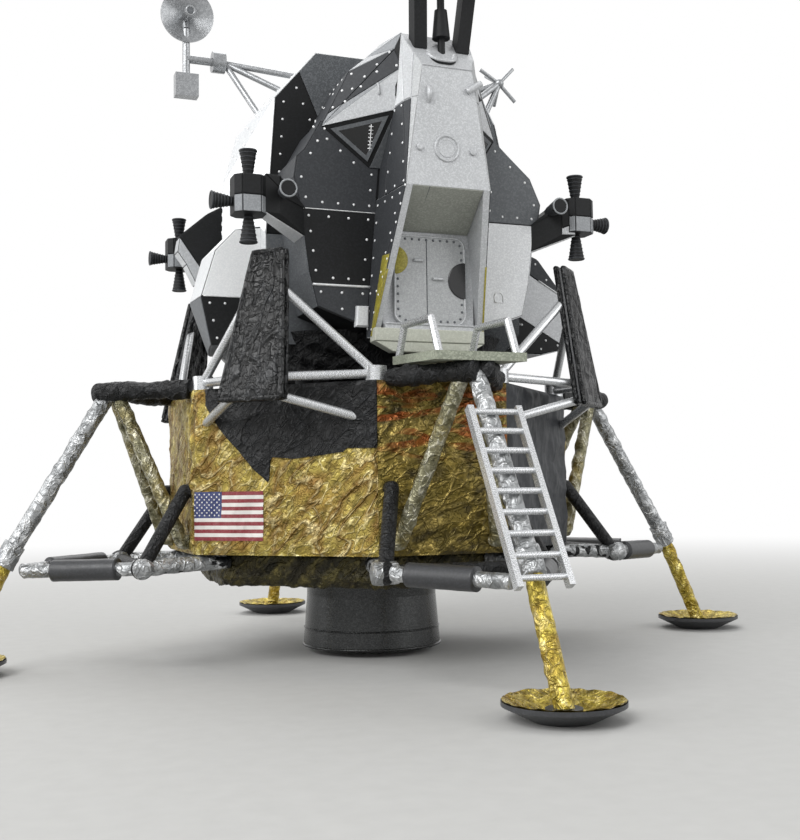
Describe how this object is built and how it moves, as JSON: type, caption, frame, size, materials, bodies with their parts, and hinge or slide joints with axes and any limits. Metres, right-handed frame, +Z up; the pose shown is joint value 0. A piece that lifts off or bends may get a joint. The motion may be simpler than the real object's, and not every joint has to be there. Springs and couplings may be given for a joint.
{
  "type": "scale model of a lunar lander",
  "caption": "Small model of a two-stage lunar lander on splayed legs, with a lift-off upper stage, a steerable dish and a tilting radar.",
  "frame": {"origin": "on the ground under the middle of the model, between the four footpads", "axes": "+Z up, -Y towards the hatch and ladder, -X towards the steerable dish"},
  "size_m": [0.1318, 0.1318, 0.0985],
  "materials": {
    "gold_foil": "crinkled gold foil",
    "gold_foil_pad": "gold paint over black",
    "silver_foil": "crinkled silver foil",
    "gold_silver_foil": "crinkled foil, gold over silver",
    "black_foil": "crinkled matt black",
    "olive_foil": "dull olive gold",
    "gunmetal_paint": "metallic grey paint",
    "green_grey_paint": "satin grey green",
    "black_paint": "satin black",
    "silver_paint": "silver paint",
    "grainy_silver_paint": "grainy silver paint"
  },
  "bodies": {
    "descent_stage": {"base_pan": "olive_foil", "brace_frame_front": "gold_silver_foil", "brace_frame_left": "gold_silver_foil", "brace_frame_rear": "gold_silver_foil", "brace_frame_right": "gold_silver_foil", "deflector_struts": "silver_paint", "deployment_truss_front": "silver_foil", "deployment_truss_left": "silver_foil", "deployment_truss_rear": "silver_foil", "deployment_truss_right": "silver_foil", "descent_body": "gold_foil", "descent_engine_bell": "gunmetal_paint", "footpad_front": "gold_foil_pad", "footpad_left": "gold_foil_pad", "footpad_rear": "gold_foil_pad", "footpad_right": "gold_foil_pad", "ladder": "silver_paint", "outrigger_front": "black_foil", "outrigger_left": "black_foil", "outrigger_rear": "black_foil", "outrigger_right": "black_foil", "plume_deflector_front_left": "black_foil", "plume_deflector_front_right": "black_foil", "plume_deflector_rear_left": "black_foil", "plume_deflector_rear_right": "black_foil", "porch": "green_grey_paint", "porch_rails": "silver_paint", "secondary_struts_front": "silver_foil", "secondary_struts_left": "silver_foil", "secondary_struts_rear": "silver_foil", "secondary_struts_right": "silver_foil", "strut_cylinder_front": "silver_foil", "strut_cylinder_left": "silver_foil", "strut_cylinder_rear": "silver_foil", "strut_cylinder_right": "silver_foil", "strut_rod_front": "gold_foil", "strut_rod_left": "gold_foil", "strut_rod_rear": "gold_foil", "strut_rod_right": "gold_foil"},
    "ascent_stage": {"aft_bay": "grainy_silver_paint", "antenna_boom": "silver_paint", "ascent_engine_bell": "gunmetal_paint", "crew_cabin": "grainy_silver_paint", "docking_tunnel": "grainy_silver_paint", "front_column": "grainy_silver_paint", "front_hatch": "grainy_silver_paint", "mid_section": "grainy_silver_paint", "radar_fork": "black_paint", "stage_pegs": "grainy_silver_paint", "star_aerial": "silver_paint", "tank_bay_left": "grainy_silver_paint", "tank_bay_right": "grainy_silver_paint", "thruster_quad_front_left": "silver_paint", "thruster_quad_front_right": "silver_paint", "thruster_quad_rear_left": "silver_paint", "thruster_quad_rear_right": "silver_paint", "window_left": "black_paint", "window_right": "black_paint"},
    "dish": {"dish_antenna": "silver_paint"},
    "radar": {"rendezvous_radar": "silver_paint"}
  },
  "joints": [
    {"name": "ascent_lift", "type": "slide", "parent": "descent_stage", "child": "ascent_stage", "axis": [0, 0, 1], "range_m": [0, 0.03]},
    {"name": "dish_tilt", "type": "hinge", "parent": "ascent_stage", "child": "dish", "pos_m": [-0.025, 0, 0.0884], "axis": [1, 0, 0], "range_deg": [-60, 60]},
    {"name": "radar_tilt", "type": "hinge", "parent": "ascent_stage", "child": "radar", "pos_m": [0, -0.032, 0.0943], "axis": [-1, 0, 0], "range_deg": [-20, 70]}
  ]
}
